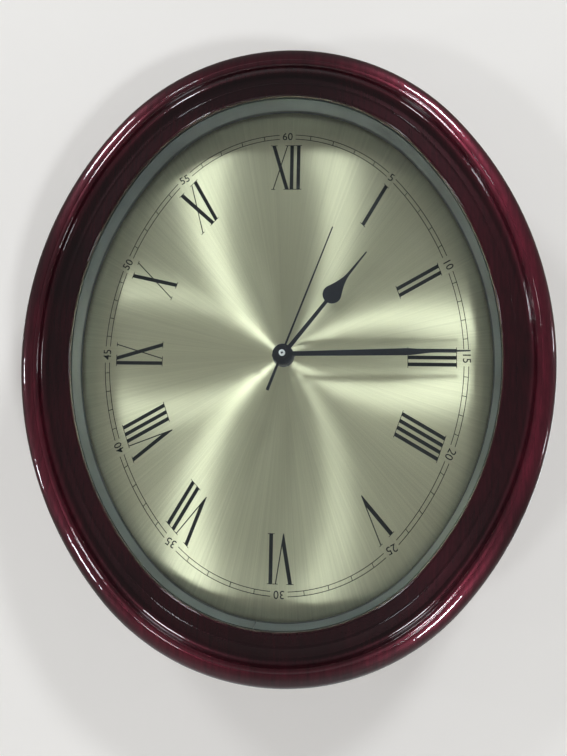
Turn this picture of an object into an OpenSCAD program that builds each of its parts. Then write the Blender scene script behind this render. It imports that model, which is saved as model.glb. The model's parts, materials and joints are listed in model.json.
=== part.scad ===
// Oval wall clock with a wooden frame and a battery movement.
// Shapes are drawn lying down: X to the right, Y towards twelve, Z away from the wall,
// with the origin where the axis of the hands meets the wall. stand_up() then hangs them on the wall.

/* [Frame] */
// Width over the outer outline
frame_w = 250; // [235:1:262]
// Height over the outer outline
frame_h = 300; // [285:1:330]
// Flatness of the sides: how far the side arcs' centres lie out, against the end arcs'
side_flat = 0.8; // [0.7:0.05:1]
// Width of the moulding, from the outer outline to its lip
ring_w = 24; // [22:0.5:28]
// How far the lip reaches over the glass
lip_overlap = 2.5; // [2:0.1:4]
// Height of the moulding's crown over the front of the glass
crown_rise = 5.4; // [4.6:0.1:7]
// Radius of the outer shoulder
shoulder_r = 7.5; // [5:0.5:8]
// Flat between the shoulder and the arris of the step
crown_flat = 1; // [0.2:0.1:1]
// Drop of the step inside the crown
step_h = 1; // [0.5:0.1:1.5]
// Run of the step inside the crown
step_run = 0.6; // [0.3:0.1:1]
// Height of the hollow's floor over the front of the glass
cove_rise = 1.3; // [1:0.1:1.8]
// Distance from the lip's edge to the middle of the bead
bead_from_lip = 7.4; // [7:0.1:9]
// Half of the bead's width
bead_half = 2.8; // [2.8:0.1:3.6]
// Radius of the bead
bead_r = 4.8; // [3.7:0.1:5]
// Height of the lip over the front of the glass
lip_h = 2.2; // [2:0.1:2.6]
// Radius of the lip's nose
lip_r = 1.7; // [1.2:0.1:1.9]
// Chamfer of the outer edge at the wall
rear_chamfer = 1; // [0.5:0.5:2]

/* [Glass and dial] */
// Thickness of the glass
glass_t = 1.8; // [1.5:0.1:3]
// Height of the spacer band between the dial and the glass
band_h = 13.3; // [13.2:0.1:18]
// Side gap of the glass, band, dial and board in the rabbet
rabbet_gap = 0.4; // [0.2:0.1:0.8]
// Chamfer along the foot of the spacer band
band_chamfer = 0.6; // [0.3:0.1:1]
// Gap between the two ends of the spacer band
band_seam = 0.3; // [0.2:0.1:1]
// Thickness of the dial sheet
dial_t = 0.7; // [0.5:0.1:1]
// Thickness of the backing board
board_t = 3; // [2.5:0.5:4]

/* [Retaining clips and hanger] */
// Number of retaining clips round the rabbet
clip_n = 6; // [4:1:8]
// Width of a clip
clip_w = 10; // [8:1:14]
// Thickness of the clip's sheet
clip_t = 0.8; // [0.5:0.1:1]
// Length of the clip's foot on the board
clip_foot = 9; // [7:0.5:12]
// Length of the clip's leg on the rabbet wall
clip_leg = 10; // [8:0.5:12]
// Radius of a clip screw's shank
clip_screw_r = 1.2; // [1:0.1:1.5]
// Length of a clip screw's shank
clip_screw_l = 8; // [6:0.5:10]
// Width of the hanger plate
hanger_w = 40; // [36:1:46]
// Height of the hanger plate
hanger_h = 14; // [13:0.5:15]
// Thickness of the hanger plate
hanger_t = 1.2; // [1:0.1:1.6]
// Radius of the keyhole that passes over a screw head
keyhole_r = 4; // [3.5:0.1:4.2]
// Width of the keyhole's slot
keyhole_slot = 4; // [3:0.1:4.5]
// Travel from the keyhole up to the end of its slot
keyhole_travel = 5; // [4.5:0.1:5.5]
// Depth of the pocket in the frame behind the keyhole
pocket_d = 6; // [5:0.5:9]
// Radius of a hanger screw's shank
hanger_screw_r = 1.4; // [1.2:0.1:1.6]

/* [Movement case] */
// Free space between the wall and the movement
wall_gap = 2.5; // [2.4:0.1:6]
// Width of the movement case
move_w = 56; // [56:0.5:60]
// Height of the case above the hands' axis
move_up = 22; // [22:0.5:25]
// Wall of the movement case
case_wall = 1.2; // [1:0.1:1.5]
// Corner radius of the movement case
case_r = 3; // [2:0.5:4]
// Thickness of the movement's rear cover
cover_t = 1.2; // [1:0.1:1.5]
// Side gap of the rear cover in the case
cover_gap = 0.1; // [0.05:0.05:0.3]
// Width of the ledge that the rear cover rests on
ledge = 0.9; // [0.6:0.1:1]
// Thickness of the rubber washer in front of the case
pad_t = 0.6; // [0.4:0.1:1.5]
// Outer radius of the rubber washer
pad_r = 14; // [10:0.5:20]
// Radius of the cell
cell_r = 7.1; // [6.9:0.05:7.15]
// Length of the cell's body
cell_l = 49.2; // [48.5:0.1:49.3]
// Radius of the cell's nub
nub_r = 2.75; // [2.5:0.05:2.9]
// Length of the cell's nub
nub_l = 1.3; // [1:0.05:1.4]
// Thickness of the battery contacts
contact_t = 0.4; // [0.3:0.1:0.5]

/* [Shafts] */
// Radius of the threaded bushing
bush_r = 3.9; // [3.7:0.1:4.1]
// Height of the bushing's end over the dial
bush_up = 3.2; // [2.8:0.1:3.4]
// Running clearance between a shaft and its bore
run_gap = 0.05; // [0.03:0.01:0.08]
// Outer radius of the hour tube
hour_tube_r = 2.6; // [2.5:0.05:2.7]
// Outer radius of the minute tube
minute_tube_r = 1.8; // [1.7:0.05:1.85]
// Radius of the seconds arbor
arbor_r = 0.6; // [0.5:0.05:0.7]
// Radius of the small pivots
pivot_r = 0.3; // [0.2:0.05:0.4]
// Width across the flats of the fixing nut
nut_af = 10; // [9.6:0.1:12]
// Thickness of the fixing nut
nut_t = 2; // [1.6:0.1:2.2]
// Thickness of the washer under the nut
nut_washer_t = 0.4; // [0.3:0.1:0.6]

/* [Gear train] */
// Distance between the hands' axis and the third wheel
third_dist = 12.24; // [12.1:0.02:12.4]
// Distance between the hands' axis and the intermediate wheel
inter_dist = 8.75; // [8.6:0.05:8.9]
// Distance between the intermediate wheel and the rotor
rotor_dist = 6; // [5.95:0.05:6.1]
// Distance between the minute wheel and each wheel that it meshes with
motion_dist = 9.6; // [9.5:0.05:9.7]
// Thickness of a wheel
wheel_t = 0.8; // [0.6:0.05:0.9]
// Free height between two wheels of the train
level_gap = 0.7; // [0.6:0.05:0.9]
// Width taken off each tooth, for play
tooth_play = 0.06; // [0.04:0.01:0.08]
// Thickness of the train plate
plate_t = 0.8; // [0.6:0.1:1]
// Thickness of the stator
stator_t = 1; // [0.8:0.1:1.2]
// Radius of the setting knob
knob_r = 7; // [5.5:0.25:7]
// Thickness of the setting knob
knob_t = 1.6; // [1.2:0.1:1.7]

/* [Hands] */
// Angle of the hour hand, clockwise from twelve
hour_at = 38; // [0:0.5:359.5]
// Angle of the minute hand, clockwise from twelve
minute_at = 88.5; // [0:0.5:359.5]
// Angle of the seconds hand, clockwise from twelve
second_at = 20.7; // [0:0.1:359.9]
// Length of the hour hand from the axis to its tip
hour_l = 65; // [58:1:75]
// Length of the minute hand from the axis to its tip
minute_l = 88.5; // [80:0.5:98]
// Length of the seconds hand from the axis to its tip
second_l = 66; // [60:1:85]
// Length of the seconds hand's tail
tail_l = 19; // [15:0.5:25]
// Radius of the disc at the root of the hour and minute hands
disc_r = 4.9; // [4.4:0.1:6]
// Thickness of the hour and minute hands
hand_t = 0.5; // [0.4:0.05:0.6]
// Height of the hour hand over the dial
hour_up = 4.6; // [4.4:0.1:4.8]
// Height of the minute hand over the dial
minute_up = 7.7; // [7.5:0.1:7.9]
// Height of the seconds hand over the dial
second_up = 10.7; // [10.5:0.1:10.9]
// Width of the hour hand's pear
pear_w = 9.2; // [7:0.1:11]
// Widest part of the minute hand
minute_w = 3.4; // [2.8:0.1:4.5]

/* [Hidden] */
$fn = 96;
eps = 0.01;
far = 400;

// Outer outline: two end arcs and two side arcs, which meet without a corner
// because (side_c - spread) * (end_c - spread) is half of spread squared
function short(v) = round(1000 * v) / 1000;
half_w = frame_w / 2;
half_h = frame_h / 2;
spread = half_h - half_w;
side_c = short(spread * (1 + side_flat));
end_c = short(spread * (1 + 0.5 / side_flat));
end_r = half_h - end_c;
side_r = half_w + side_c;
join_a = atan2(end_c, side_c);

// Heights in the movement, from its rear face to its front
move_back = wall_gap;
inner_z = move_back + cover_t;
inter_z = inner_z + level_gap;
second_z = inter_z + wheel_t + level_gap;
stator_z = second_z + wheel_t + 0.5;
third_z = stator_z + stator_t;
plate_z = third_z + wheel_t + 2 * level_gap;
centre_z = plate_z + plate_t + level_gap;
clutch_h = 0.7;
motion_z = centre_z + wheel_t + clutch_h + 0.4;
hour_z = motion_z + wheel_t + 1;
flange_t = 0.7;
flange_z = hour_z + wheel_t + 0.2;
front_z = flange_z + flange_t;
move_front = front_z + case_wall;

// Heights from the movement to the crown of the frame
board_z = move_front + pad_t;
dial_back = board_z + board_t;
dial_z = dial_back + dial_t;
glass_z = dial_z + band_h;
lip_z = glass_z + glass_t;
crown_z = lip_z + crown_rise;

// Offsets from the outer outline
rabbet_u = ring_w - lip_overlap;
fill_u = rabbet_u + rabbet_gap;
bead_u = ring_w - bead_from_lip;
corner_u = bead_u - bead_half;
arris_u = shoulder_r + crown_flat;
step_u = arris_u + step_run;
cove_du = corner_u - step_u;
cove_dz = crown_rise - step_h - cove_rise;
cove_r = (cove_du * cove_du + cove_dz * cove_dz) / (2 * cove_dz);
cove_from = 180 + atan2(cove_r - cove_dz, cove_du);
bead_a = acos(bead_half / bead_r);

// Space in the movement case, and the cell's bay below it
cavity_half = move_w / 2 - case_wall - cover_gap - ledge + 0.2;
cover_half = move_w / 2 - case_wall;
cavity_top = move_up - case_wall;
cavity_bottom = -16.8;
bay_wall = 2;
bay_gap = 0.25;
bay_top = cavity_bottom - bay_wall;
cell_y = bay_top - cell_r - bay_gap;
bay_bottom = cell_y - cell_r - bay_gap;
move_down = -bay_bottom + case_wall;
cell_z = front_z - bay_gap - cell_r;
cell_end = (cell_l + nub_l) / 2;
contact_x = cell_end + 0.05;

// Axes of the train
third_axis = [-third_dist, 0];
inter_a = 20;
inter_axis = inter_dist * [cos(inter_a), sin(inter_a)];
rotor_a = 15;
rotor_axis = inter_axis + rotor_dist * [cos(rotor_a), sin(rotor_a)];
minute_a = -60;
minute_axis = motion_dist * [cos(minute_a), sin(minute_a)];
setting_a = -20;
setting_axis = minute_axis + motion_dist * [cos(setting_a), sin(setting_a)];

// Teeth of the train, named by the pair that meshes
rotor_teeth = [8, 40];
inter_teeth = [10, 60];
second_teeth = [8, 60];
third_teeth = [8, 64];
cannon_teeth = [12, 36];
minute_teeth = [10, 40];
function pair_module(pair, dist) = 2 * dist / (pair[0] + pair[1]);
rotor_m = pair_module(rotor_teeth, rotor_dist);
inter_m = pair_module(inter_teeth, inter_dist);
second_m = pair_module(second_teeth, third_dist);
third_m = pair_module(third_teeth, third_dist);
cannon_m = pair_module(cannon_teeth, motion_dist);
minute_m = pair_module(minute_teeth, motion_dist);

// Turn of a wheel that meshes with one turned by a_turn, seen from the first along dir
function meshed(a_turn, a_teeth, b_teeth, dir) =
    dir + 180 + 180 / b_teeth - (a_turn - dir) * a_teeth / b_teeth;
third_turn = meshed(0, second_teeth[0], second_teeth[1], 180);
centre_turn = meshed(0, third_teeth[0], third_teeth[1], 0);
inter_turn = meshed(0, inter_teeth[1], inter_teeth[0], inter_a);
rotor_turn = meshed(0, rotor_teeth[1], rotor_teeth[0], rotor_a);
minute_turn = meshed(0, cannon_teeth[0], cannon_teeth[1], minute_a);
hour_turn = meshed(0, minute_teeth[0], minute_teeth[1], minute_a + 180);
setting_turn = meshed(minute_turn, cannon_teeth[1], cannon_teeth[0], setting_a);

// Coil and stator
coil_x = 21.9;
coil_half = 8.8;
coil_r = 3;
bobbin_r = 3.2;
bobbin_tube_r = 1.9;
bobbin_flange_t = 0.8;
core_w = 2.4;
core_t = 0.8;
core_z = third_z;
coil_z = core_z + core_t / 2;
ear_y = 12.3;
ear_r = 1.9;
stake_r = 0.7;
rotor_gap = 0.5;
magnet_r = 2.4;
magnet_h = stator_t + 1;
magnet_z = stator_z - 0.5;
stator_ring = 1.3;
stator_arm = 2.5;
stator_knee = [17, -9.6];
rotor_arbor_r = 0.6;
inter_arbor_r = 0.5;
third_arbor_r = 0.8;
setting_r = 1.5;
setting_pivot_r = 0.8;
pivot_l = 0.6;
boss_r = 1.5;

// Circuit board
pcb_t = 1;
pcb_z = stator_z - 0.2;
pcb_bottom = 14.6;
pcb_top = 20.4;
pcb_half = contact_x + contact_t + 0.05;
strip_h = 3;

// Hands, tubes and collets
collet_t = 0.8;
rivet_t = 0.3;
hour_collet_r = 3.4;
hour_neck_r = 2.95;
minute_collet_r = 2.6;
minute_neck_r = 2.2;
second_hand_t = 0.35;
second_disc_r = 2.6;
second_tube_r = 1.5;
second_tube_down = 0.9;
second_tube_up = 1.9;
press_gap = 0.01;
thread_gap = 0.05;
hole_gap = 0.3;

function dir2(a) = [cos(a), sin(a)];
function arc(c, r, from, to, steps, first = 0) =
    [for (i = [first:steps]) c + r * dir2(from + (to - from) * i / steps)];

// Hangs a shape that was drawn lying down on the wall
module stand_up() rotate([90, 0, 0]) children();

// Sweeps a profile round the oval: x is minus the offset from the outer outline, y the height
module turned(centre, radius) translate([centre[0], centre[1], 0]) rotate_extrude($fn = 240) intersection() {
    translate([radius, 0]) children();
    translate([0, -far / 2]) square(far);
}
// Side of the line through the centres of a side arc and an end arc, on which the side arc lies
side_part = [[-side_c, 0], [far - side_c, far * end_c / side_c], [far - side_c, -far], [-side_c, -far]];
module oval_sweep() {
    for (s = [0, 1]) mirror([s, 0, 0]) intersection() {
        turned([-side_c, 0], side_r) children();
        translate([0, 0, -far / 2]) linear_extrude(far) intersection() {
            polygon(side_part);
            mirror([0, 1]) polygon(side_part);
        }
    }
    for (s = [0, 1]) mirror([0, s, 0]) difference() {
        turned([0, end_c], end_r) children();
        for (t = [0, 1]) mirror([t, 0, 0]) translate([0, 0, -far / 2]) linear_extrude(far) polygon(side_part);
    }
}

// An oval sheet whose edge lies u inside the outer outline, with its back at height z
module oval_sheet(u, z, t) oval_sweep() translate([-far, z]) square([far - u, t]);

// Puts a piece at the outline's point whose normal has direction a, u inside the outline; X points outwards
module at_oval(a, u) {
    turn = (a % 360 + 360) % 360;
    on_side = turn <= join_a || turn >= 360 - join_a || abs(turn - 180) <= join_a;
    centre = on_side ? [-sign(cos(turn)) * side_c, 0] : [0, sign(sin(turn)) * end_c];
    radius = on_side ? side_r : end_r;
    translate([centre[0], centre[1], 0]) rotate([0, 0, turn]) translate([radius - u, 0, 0]) children();
}

module at(p, z = 0) translate([p[0], p[1], z]) children();
module rod(r, z0, z1) translate([0, 0, z0]) cylinder(r = r, h = z1 - z0);
module tube(r_out, r_in, z0, z1) difference() {
    rod(r_out, z0, z1);
    rod(r_in, z0 - 1, z1 + 1);
}
module block(x0, x1, y0, y1, z0, z1) translate([x0, y0, z0]) cube([x1 - x0, y1 - y0, z1 - z0]);

// Upright plate with round corners
module round_block(x0, x1, y0, y1, z0, z1, r) {
    block(x0 + r, x1 - r, y0, y1, z0, z1);
    block(x0, x1, y0 + r, y1 - r, z0, z1);
    for (x = [x0 + r, x1 - r], y = [y0 + r, y1 - r]) at([x, y]) rod(r, z0, z1);
}

// Flat bar with square ends, from point p to point q
module bar(p, q, w, z0, t) {
    d = q - p;
    translate([p[0], p[1], z0]) rotate([0, 0, atan2(d[1], d[0])])
        translate([0, -w / 2, 0]) cube([norm(d), w, t]);
}

// Half of a tooth's angle at radius r, on an involute of 20 degrees
function involute(a) = tan(a) * 180 / PI - a;
function half_tooth(teeth, m, r) = (90 - tooth_play / m * 180 / PI) / teeth + involute(20)
    - involute(acos(min(1, teeth * m / 2 * cos(20) / r)));
function gear_points(teeth, m, flank) = [for (i = [0:teeth - 1]) let (a = i * 360 / teeth)
    each concat([for (r = flank) r * dir2(a - half_tooth(teeth, m, r))],
        [for (k = [len(flank) - 1:-1:0]) flank[k] * dir2(a + half_tooth(teeth, m, flank[k]))])];

// A wheel with straight flanks, and a pinion with rounder ones and a lower tip
module wheel(teeth, m, turn, z, t = wheel_t) {
    r = teeth * m / 2;
    translate([0, 0, z]) rotate([0, 0, turn]) linear_extrude(t)
        polygon(gear_points(teeth, m, [r - 1.25 * m, r + 0.85 * m]));
}
module pinion(teeth, m, turn, z0, z1) {
    r = teeth * m / 2;
    translate([0, 0, z0]) rotate([0, 0, turn]) linear_extrude(z1 - z0)
        polygon(gear_points(teeth, m, [r - 1.25 * m, r * cos(20), r + 0.2 * m, r + 0.8 * m]));
}

// Moulding of the frame, in offset and height
moulding = concat([[rear_chamfer, 0], [0, rear_chamfer]],
    arc([shoulder_r, crown_z - shoulder_r], shoulder_r, 180, 90, 10), [[arris_u, crown_z]],
    arc([corner_u, lip_z + cove_rise + cove_r], cove_r, cove_from, 270, 6),
    arc([bead_u, lip_z + cove_rise - bead_r * sin(bead_a)], bead_r, 180 - bead_a, bead_a, 10, 1),
    arc([ring_w - lip_r, lip_z + lip_h - lip_r], lip_r, 110, 0, 8),
    [[ring_w, lip_z], [rabbet_u, lip_z], [rabbet_u, 0]]);

// Keyhole outline: entry hole with its slot above
hanger_y = half_h - rabbet_u / 2;
keyhole_y = hanger_y - hanger_h / 2 + keyhole_r + 1;
module keyhole(gap, z0, z1) {
    at([0, keyhole_y]) rod(keyhole_r + gap, z0, z1);
    at([0, keyhole_y + keyhole_travel]) rod(keyhole_slot / 2 + gap, z0, z1);
    block(-keyhole_slot / 2 - gap, keyhole_slot / 2 + gap, keyhole_y, keyhole_y + keyhole_travel, z0, z1);
}
hanger_hole_x = hanger_w / 2 - 5;
clip_angles = [for (i = [0:clip_n - 1]) i * 360 / clip_n];
clip_hole_z = board_z - clip_t - clip_leg / 2;
hanger_screw_l = 9;

module frame() color("#5a1418") stand_up() difference() {
    oval_sweep() polygon([for (p = moulding) [-p[0], p[1]]]);
    for (a = clip_angles) at_oval(a, rabbet_u)
        translate([-1, 0, clip_hole_z]) rotate([0, 90, 0]) cylinder(r = clip_screw_r + 0.02, h = clip_screw_l);
    at([0, hanger_y]) block(-hanger_w / 2 - 0.2, hanger_w / 2 + 0.2, -hanger_h / 2 - 0.2, hanger_h / 2 + 0.2, -1, hanger_t);
    keyhole(1.5, -1, hanger_t + pocket_d);
    for (x = [-hanger_hole_x, hanger_hole_x]) at([x, hanger_y]) rod(hanger_screw_r + 0.02, -1, hanger_t + hanger_screw_l);
}

module glass() color("lightcyan", 0.25) stand_up() oval_sheet(fill_u, glass_z, glass_t);

// Butt-jointed strip, flush with the lip, whose ends meet left of six
seam_a = 263;
module spacer_band() color("#79867c") stand_up() difference() {
    oval_sweep() polygon([[-fill_u, dial_z], [-ring_w + band_chamfer, dial_z], [-ring_w, dial_z + band_chamfer],
        [-ring_w, glass_z], [-fill_u, glass_z]]);
    at_oval(seam_a, ring_w) block(-2, lip_overlap + 2, -band_seam / 2, band_seam / 2, dial_z - 1, glass_z + 1);
}

module dial() color("#b9ad7c") stand_up() difference() {
    oval_sheet(fill_u, dial_back, dial_t);
    rod(bush_r + 0.2, dial_back - 1, dial_z + 1);
}

module backing_board() color("#6b4a2c") stand_up() difference() {
    oval_sheet(fill_u, board_z, board_t);
    rod(bush_r + hole_gap, board_z - 1, dial_back + 1);
}

// Angle clips: the foot holds the board, the leg is screwed to the rabbet wall
clip_gap = 0.2;
module retaining_clips() color("silver") stand_up() for (a = clip_angles) at_oval(a, rabbet_u + clip_gap)
    difference() {
        union() {
            block(-clip_foot, 0, -clip_w / 2, clip_w / 2, board_z - clip_t, board_z);
            block(-clip_t, 0, -clip_w / 2, clip_w / 2, board_z - clip_t - clip_leg, board_z);
        }
        translate([-clip_t - 1, 0, clip_hole_z]) rotate([0, 90, 0]) cylinder(r = clip_screw_r + 0.2, h = clip_t + 2);
    }

module clip_screws() color("gainsboro") stand_up() for (a = clip_angles)
    at_oval(a, rabbet_u + clip_gap) translate([-clip_t, 0, clip_hole_z]) rotate([0, 90, 0]) {
        rod(clip_screw_r, -eps, clip_screw_l - 1);
        difference() {
            rod(2 * clip_screw_r, -1.2, 0);
            block(-2 * clip_screw_r, 2 * clip_screw_r, -0.25, 0.25, -1.3, -0.7);
        }
    }

module hanger_plate() color("silver") stand_up() difference() {
    at([0, hanger_y]) round_block(-hanger_w / 2, hanger_w / 2, -hanger_h / 2, hanger_h / 2, 0, hanger_t, 2);
    keyhole(0, -1, hanger_t + 1);
    for (x = [-hanger_hole_x, hanger_hole_x]) at([x, hanger_y]) {
        rod(hanger_screw_r + 0.1, -1, hanger_t + 1);
        translate([0, 0, -eps]) cylinder(r1 = 2 * hanger_screw_r + 0.1, r2 = hanger_screw_r + 0.1, h = hanger_t);
    }
}

module hanger_screws() color("gainsboro") stand_up() for (x = [-hanger_hole_x, hanger_hole_x])
    at([x, hanger_y]) difference() {
        union() {
            cylinder(r1 = 2 * hanger_screw_r - 0.05, r2 = hanger_screw_r, h = hanger_t - 0.05);
            rod(hanger_screw_r, 0.1, hanger_t + hanger_screw_l - 1);
        }
        block(-3, 3, -0.25, 0.25, -1, 0.5);
    }

// Front shell of the movement, with the cell's bay and the pillars of the train plate
plate_left = -25;
plate_right = 18;
plate_top = 12.2;
pillar_r = 1.6;
pillars = [[plate_left + 3, -13], [plate_left + 3, plate_top - 3.2],
    [plate_right - 2.2, plate_top - 2.2], [plate_right - 2, -4.5]];
strip_z = pcb_z + pcb_t;
module movement_case() color("#1c1c1e") stand_up() {
    difference() {
        round_block(-move_w / 2, move_w / 2, -move_down, move_up, move_back, move_front, case_r);
        block(-cover_half, cover_half, cavity_bottom, cavity_top, move_back - 1, inner_z);
        block(-cavity_half, cavity_half, cavity_bottom, cavity_top, move_back, front_z);
        block(-cover_half, cover_half, bay_bottom, bay_top, move_back - 1, front_z);
        for (x = [-contact_x - contact_t / 2, contact_x + contact_t / 2])
            block(x - contact_t, x + contact_t, bay_top - 1, cavity_bottom + 1, strip_z - 0.2, strip_z + strip_h + 0.2);
        rod(bush_r + 0.1, front_z - 1, move_front + 1);
    }
    for (p = pillars) at(p) rod(pillar_r, plate_z + plate_t, front_z + eps);
    at(minute_axis) rod(arbor_r, motion_z - 0.4, front_z + eps);
    at(third_axis) tube(boss_r, pivot_r + run_gap, centre_z + wheel_t + 1.2, front_z + eps);
    at(setting_axis) tube(boss_r + 0.5, setting_pivot_r + run_gap, motion_z + wheel_t + 0.9, front_z + eps);
}

// Rear cover with the lower bearings, the stator's stakes and the board's posts
module bearing(p, r, z1) at(p) tube(boss_r, r + run_gap, inner_z - eps, z1);
module movement_cover() color("#242426") stand_up() {
    difference() {
        block(-cover_half + cover_gap, cover_half - cover_gap, cavity_bottom + cover_gap, cavity_top - cover_gap,
            move_back, inner_z);
        at(setting_axis) rod(setting_r + run_gap, move_back - 1, inner_z + 1);
    }
    bearing([0, 0], pivot_r, inner_z + 0.8);
    bearing(third_axis, pivot_r, inner_z + 0.8);
    bearing(inter_axis, pivot_r, inter_z - 0.1);
    bearing(rotor_axis, pivot_r, inter_z - 0.3);
    for (s = [-1, 1]) at([coil_x, s * ear_y]) {
        rod(ear_r - 0.2, inner_z - eps, stator_z);
        rod(stake_r, stator_z - eps, core_z + core_t + 0.4);
    }
    for (x = [-20, 14]) at([x, (pcb_bottom + pcb_top) / 2]) rod(2, inner_z - eps, pcb_z);
}

module rubber_washer() color("#2b2b2b") stand_up() tube(pad_r, bush_r + hole_gap, move_front, board_z);

module threaded_bushing() color("#c9a85a") stand_up() difference() {
    union() {
        rod(5.5, flange_z, front_z);
        rod(bush_r, front_z - eps, dial_z + bush_up - 0.4);
        translate([0, 0, dial_z + bush_up - 0.4]) cylinder(r1 = bush_r, r2 = bush_r - 0.4, h = 0.4);
    }
    rod(hour_tube_r + run_gap, flange_z - 1, dial_z + bush_up + 1);
}

module nut_washer() color("#c9a85a") stand_up() tube(nut_af / 2 + 0.4, bush_r + 0.1, dial_z, dial_z + nut_washer_t);

module fixing_nut() color("#c9a85a") stand_up() difference() {
    translate([0, 0, dial_z + nut_washer_t]) cylinder(d = nut_af / cos(30), h = nut_t, $fn = 6);
    rod(bush_r + thread_gap, dial_z, dial_z + nut_washer_t + nut_t + 1);
}

module train_plate() color("#d8d4c4") stand_up() difference() {
    block(plate_left, plate_right, cavity_bottom + 0.4, plate_top, plate_z, plate_z + plate_t);
    rod(minute_tube_r + run_gap, plate_z - 1, plate_z + plate_t + 1);
    at(third_axis) rod(third_m * (third_teeth[0] / 2 + 0.8) + 0.4, plate_z - 1, plate_z + plate_t + 1);
    at(inter_axis) rod(pivot_r + run_gap, plate_z - 1, plate_z + plate_t + 1);
    at(rotor_axis) rod(pivot_r + run_gap, plate_z - 1, plate_z + plate_t + 1);
    at(setting_axis) rod(setting_r + run_gap, plate_z - 1, plate_z + plate_t + 1);
}

stator_hole_r = magnet_r + rotor_gap;
module stator() color("#9aa0a6") stand_up() difference() {
    union() {
        at(rotor_axis) rod(stator_hole_r + stator_ring, stator_z, stator_z + stator_t);
        bar(rotor_axis + [0, 3.2], [coil_x, ear_y], stator_arm, stator_z, stator_t);
        bar(rotor_axis + [1.4, -3.2], stator_knee, stator_arm - 0.3, stator_z, stator_t);
        at(stator_knee) rod(stator_arm / 2, stator_z, stator_z + stator_t);
        bar(stator_knee, [coil_x, -ear_y], stator_arm - 0.3, stator_z, stator_t);
        for (s = [-1, 1]) at([coil_x, s * ear_y]) rod(ear_r, stator_z, stator_z + stator_t);
    }
    at(rotor_axis) rod(stator_hole_r, stator_z - 1, stator_z + stator_t + 1);
    for (s = [-1, 1]) at([coil_x, s * ear_y]) rod(stake_r + 0.05, stator_z - 1, stator_z + stator_t + 1);
}

module coil_core() color("#8b9096") stand_up() difference() {
    block(coil_x - core_w / 2, coil_x + core_w / 2, -ear_y - 1.5, ear_y + 1.5, core_z, core_z + core_t);
    for (s = [-1, 1]) at([coil_x, s * ear_y]) rod(stake_r + 0.05, core_z - 1, core_z + core_t + 1);
}

// Places a shape drawn along Z on the coil's axis, which runs along Y
module along_coil() translate([coil_x, 0, coil_z]) rotate([90, 0, 0]) children();
module coil_bobbin() color("#e8e4d8") stand_up() difference() {
    along_coil() {
        rod(bobbin_tube_r, -coil_half, coil_half);
        for (z = [-coil_half, coil_half - bobbin_flange_t]) rod(bobbin_r, z, z + bobbin_flange_t);
    }
    block(coil_x - core_w / 2 - 0.05, coil_x + core_w / 2 + 0.05, -coil_half - 1, coil_half + 1,
        core_z - 0.05, core_z + core_t + 0.05);
}

module coil_winding() color("#b4672e") stand_up() along_coil()
    tube(coil_r, bobbin_tube_r + 0.02, -coil_half + bobbin_flange_t + 0.02, coil_half - bobbin_flange_t - 0.02);

module circuit_board() color("#2f6b3c") stand_up()
    block(-pcb_half, pcb_half, pcb_bottom, pcb_top, pcb_z, pcb_z + pcb_t);

pcb_mid = (pcb_bottom + pcb_top) / 2;
module ic_chip() color("#151515") stand_up() {
    block(-0.5, 4.5, pcb_mid - 2, pcb_mid + 2, strip_z + 0.1, strip_z + 1.1);
    for (x = [0.3:1.1:4], s = [-1, 1]) block(x, x + 0.4, pcb_mid + s * 2.3 - 0.3, pcb_mid + s * 2.3 + 0.3, strip_z, strip_z + 0.4);
}

crystal_r = 1.5;
module quartz_crystal() color("silver") stand_up() {
    translate([-14, pcb_mid, strip_z + crystal_r]) rotate([0, 90, 0]) rod(crystal_r, 0, 8);
    for (s = [-1, 1]) translate([-6, pcb_mid + s * 0.5, strip_z + crystal_r]) rotate([0, 90, 0]) rod(0.15, -0.2, 1.6);
    for (s = [-1, 1]) at([-4.5, pcb_mid + s * 0.5]) rod(0.15, strip_z, strip_z + crystal_r + 0.1);
}

module battery() color("#3a4b57") stand_up() translate([-cell_end, cell_y, cell_z]) rotate([0, 90, 0]) {
    rod(cell_r, 0, cell_l);
    rod(nub_r, cell_l - eps, cell_l + nub_l);
}

// Flat strips from the ends of the cell, through the partition, to the circuit board
contact_w = 6;
contact_h = 8;
module contact(x0, x1) {
    block(x0, x1, cell_y - contact_w / 2, cell_y + contact_w / 2, cell_z - contact_h / 2, cell_z + contact_h / 2);
    block(x0, x1, cell_y, pcb_bottom + 3.4, strip_z, strip_z + strip_h);
}
module positive_contact() color("gainsboro") stand_up() contact(contact_x, contact_x + contact_t);
module negative_contact() color("gainsboro") stand_up() contact(-contact_x - contact_t, -contact_x);

module rotor_magnet() color("#4a4a4e") stand_up() at(rotor_axis)
    tube(magnet_r, rotor_arbor_r + press_gap, magnet_z, magnet_z + magnet_h);

module rotor_pinion() color("#e9e4d2") stand_up() at(rotor_axis) {
    pinion(rotor_teeth[0], rotor_m, rotor_turn, inter_z - 0.2, inter_z + wheel_t + 0.2);
    rod(rotor_arbor_r, inter_z, plate_z - 0.2);
    rod(pivot_r, inner_z + 0.1, plate_z + pivot_l);
}

module intermediate_wheel() color("#f0efe6") stand_up() at(inter_axis) {
    wheel(rotor_teeth[1], rotor_m, 0, inter_z);
    pinion(inter_teeth[0], inter_m, inter_turn, second_z - 0.2, second_z + wheel_t + 0.2);
    rod(inter_arbor_r, inter_z, plate_z - 0.2);
    rod(pivot_r, inner_z + 0.1, plate_z + pivot_l);
}

module second_wheel() color("#f0efe6") stand_up() difference() {
    union() {
        wheel(inter_teeth[1], inter_m, 0, second_z);
        rod(1.1, second_z, third_z - 0.2);
        pinion(second_teeth[0], second_m, 0, third_z - 0.3, third_z + wheel_t + 0.3);
    }
    rod(arbor_r + press_gap, second_z - 1, plate_z);
}

// Steel arbor that carries the seconds hand through the minute tube
module second_arbor() color("silver") stand_up() {
    rod(pivot_r, inner_z + 0.1, inner_z + 1);
    rod(arbor_r, inner_z + 0.9, dial_z + second_up + second_tube_up - 0.6);
}

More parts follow.
